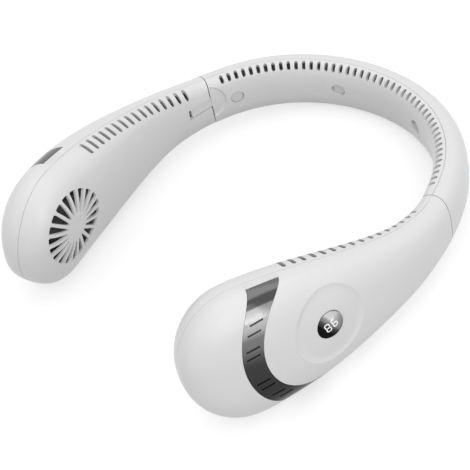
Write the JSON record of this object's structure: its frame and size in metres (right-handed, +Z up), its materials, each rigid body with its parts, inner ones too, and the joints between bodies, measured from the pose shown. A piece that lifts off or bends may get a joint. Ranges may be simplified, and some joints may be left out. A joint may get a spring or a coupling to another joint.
{
  "type": "electric neck fan",
  "caption": "Horseshoe neck fan: slotted neck band with two hinged arms that swell into pods with radial intake grilles, impellers, mirror trim and a domed display button.",
  "frame": {"origin": "Middle of the overall box in plan, on the plane the part lies on.", "axes": "+Z up from the lying plane, -Y towards the pod tips, X across the neck; the part is symmetric left to right in its casing."},
  "size_m": [0.1824, 0.2081, 0.0619],
  "materials": {
    "casing": "satin white moulded plastic",
    "plug": "soft light grey plug",
    "mirror_trim": "dark mirror plating on plastic",
    "lens": "dark mirror display disc",
    "impeller": "dark moulded plastic",
    "inner_plastic": "grey moulded plastic",
    "steel": "plated steel",
    "washer": "low friction plastic",
    "wire": "sleeved wires",
    "bronze": "sintered bush",
    "core": "coated lamination stack",
    "copper": "enamelled copper wire",
    "magnet": "bonded magnet",
    "cell_wrap": "wrapped lithium cell",
    "circuit_board": "solder-masked board",
    "component": "black component body"
  },
  "bodies": {
    "neck_band": {"band_outer_shell": "casing", "band_inner_shell": "casing", "band_screws": "steel", "screw_plugs": "plug", "hinge_lug_right": "casing", "hinge_lug_left": "casing", "wire_loom": "wire"},
    "right_arm": {"arm_outer_shell_right": "casing", "arm_inner_shell_right": "casing", "trim_strip_right": "mirror_trim", "hinge_bracket_right": "steel", "hinge_pin_right": "steel", "hinge_washers_right": "washer", "motor_mount_right": "inner_plastic", "mount_screws_right": "steel", "motor_bush_right": "bronze", "motor_stator_right": "core", "motor_coils_right": "copper", "battery_cell_right": "cell_wrap", "battery_tray_right": "inner_plastic", "main_board": "circuit_board", "tact_switch": "component", "display_module": "component", "charging_socket": "steel"},
    "left_arm": {"arm_outer_shell_left": "casing", "arm_inner_shell_left": "casing", "trim_strip_left": "mirror_trim", "hinge_bracket_left": "steel", "hinge_pin_left": "steel", "hinge_washers_left": "washer", "motor_mount_left": "inner_plastic", "mount_screws_left": "steel", "motor_bush_left": "bronze", "motor_stator_left": "core", "motor_coils_left": "copper", "battery_cell_left": "cell_wrap", "battery_tray_left": "inner_plastic", "motor_board": "circuit_board"},
    "right_fan": {"impeller_right": "impeller", "rotor_can_right": "steel", "magnet_ring_right": "magnet", "motor_shaft_right": "steel"},
    "left_fan": {"impeller_left": "impeller", "rotor_can_left": "steel", "magnet_ring_left": "magnet", "motor_shaft_left": "steel"},
    "display_button": {"display_lens": "lens", "button_plunger": "inner_plastic"}
  },
  "joints": [
    {"name": "right_hinge", "type": "hinge", "parent": "neck_band", "child": "right_arm", "pos_m": [0.0782, 0.02289, 0.02171], "axis": [0, 0, 1], "range_deg": [-10, 30]},
    {"name": "left_hinge", "type": "hinge", "parent": "neck_band", "child": "left_arm", "pos_m": [-0.0782, 0.02289, 0.02171], "axis": [0, 0, -1], "range_deg": [-10, 30]},
    {"name": "right_fan_spin", "type": "hinge", "parent": "right_arm", "child": "right_fan", "pos_m": [0.06263, -0.07733, 0.03764], "axis": [-0.9319, 0.3135, -0.1822], "continuous": true},
    {"name": "left_fan_spin", "type": "hinge", "parent": "left_arm", "child": "left_fan", "pos_m": [-0.06263, -0.07733, 0.03764], "axis": [0.9319, 0.3135, -0.1822], "continuous": true},
    {"name": "display_press", "type": "slide", "parent": "right_arm", "child": "display_button", "axis": [-0.964, 0.2066, -0.1674], "range_m": [0, 0.0005], "stiffness_N_per_m": 1500}
  ]
}
